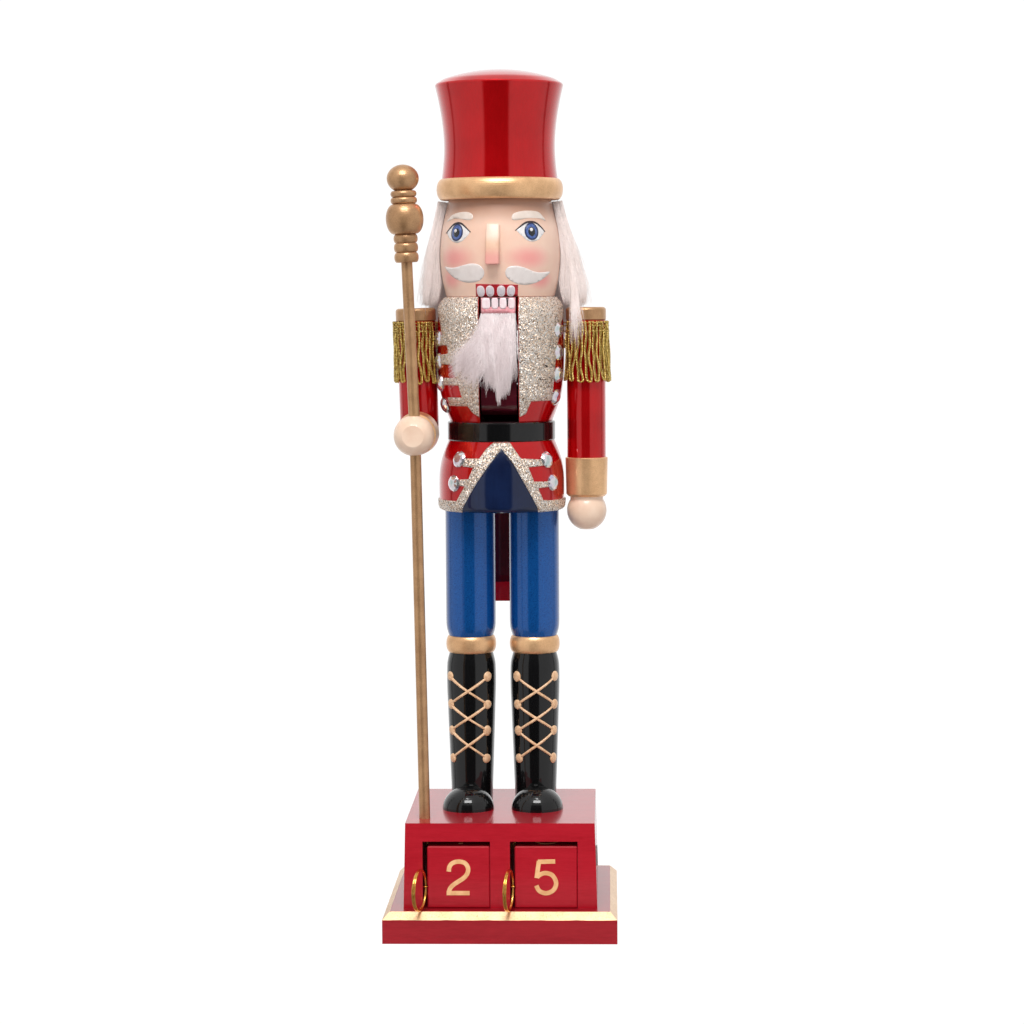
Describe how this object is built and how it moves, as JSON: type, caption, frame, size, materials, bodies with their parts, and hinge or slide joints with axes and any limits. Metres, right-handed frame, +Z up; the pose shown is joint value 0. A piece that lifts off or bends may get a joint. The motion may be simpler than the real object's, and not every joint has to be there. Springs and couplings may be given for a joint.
{
  "type": "nutcracker figure",
  "caption": "Painted wooden nutcracker soldier with a tall hat and staff on a countdown stand; rear lever works the jaw and numbered blocks pull out by rings.",
  "frame": {"origin": "centre of the foot board's underside", "axes": "+Z up the figure, -Y out of its face, so +X is on the right of someone facing it"},
  "size_m": [0.101, 0.1079, 0.3764],
  "materials": {
    "base_red": "gloss red lacquer over fine grain",
    "coat_red": "high gloss red paint",
    "lever_maroon": "gloss dark maroon paint",
    "gold_paint": "satin old-gold paint",
    "black_gloss": "high gloss black paint",
    "blue_pearl": "gloss metallic blue paint",
    "face_paint": "satin flesh paint",
    "hand_wood": "satin pale paint",
    "bare_wood": "unfinished",
    "steel": "bright",
    "brass": "polished",
    "white_fur": "long white pile",
    "bullion_fringe": "twisted metallic thread",
    "gem": "clear faceted acrylic with a silvered back"
  },
  "bodies": {
    "figure": {"plinth": "base_red", "number_box": "base_red", "box_screws": "steel", "left_boot": "black_gloss", "right_boot": "black_gloss", "left_toe_cap": "black_gloss", "right_toe_cap": "black_gloss", "left_knee_bead": "gold_paint", "right_knee_bead": "gold_paint", "left_trouser": "blue_pearl", "right_trouser": "blue_pearl", "leg_dowels": "bare_wood", "coat_skirt": "coat_red", "waist_belt": "black_gloss", "waist_dowels": "bare_wood", "torso": "coat_red", "lever_pin": "steel", "head": "face_paint", "nose": "face_paint", "hair": "white_fur", "neck_dowel": "bare_wood", "hat_band": "gold_paint", "hat_crown": "coat_red", "hat_dowel": "bare_wood", "left_upper_arm": "coat_red", "left_forearm": "coat_red", "right_arm": "coat_red", "shoulder_dowels": "bare_wood", "left_shoulder_cap": "gold_paint", "right_shoulder_cap": "gold_paint", "left_fringe": "bullion_fringe", "right_fringe": "bullion_fringe", "left_cuff": "gold_paint", "right_cuff": "gold_paint", "left_hand": "hand_wood", "right_hand": "hand_wood", "wrist_dowels": "bare_wood", "lower_staff": "gold_paint", "upper_staff": "gold_paint", "staff_finial": "gold_paint", "coat_gems": "gem"},
    "jaw": {"jaw_lever": "lever_maroon", "beard": "white_fur"},
    "left_number": {"left_block": "base_red", "left_screw_eye": "brass"},
    "right_number": {"right_block": "base_red", "right_screw_eye": "brass"},
    "left_ring": {"left_pull_ring": "brass"},
    "right_ring": {"right_pull_ring": "brass"}
  },
  "joints": [
    {"name": "jaw_hinge", "type": "hinge", "parent": "figure", "child": "jaw", "pos_m": [0, 0.002, 0.238], "axis": [1, 0, 0], "range_deg": [0, 18]},
    {"name": "left_block_slide", "type": "slide", "parent": "figure", "child": "left_number", "axis": [0, -1, 0], "range_m": [0, 0.04]},
    {"name": "right_block_slide", "type": "slide", "parent": "figure", "child": "right_number", "axis": [0, -1, 0], "range_m": [0, 0.04]},
    {"name": "left_ring_swing", "type": "hinge", "parent": "left_number", "child": "left_ring", "pos_m": [-0.03225, -0.0398, 0.0228], "axis": [0, 0, 1], "range_deg": [-12, 21]},
    {"name": "right_ring_swing", "type": "hinge", "parent": "right_number", "child": "right_ring", "pos_m": [0.00555, -0.0398, 0.0228], "axis": [0, 0, 1], "range_deg": [-15.5, 17.5]}
  ]
}
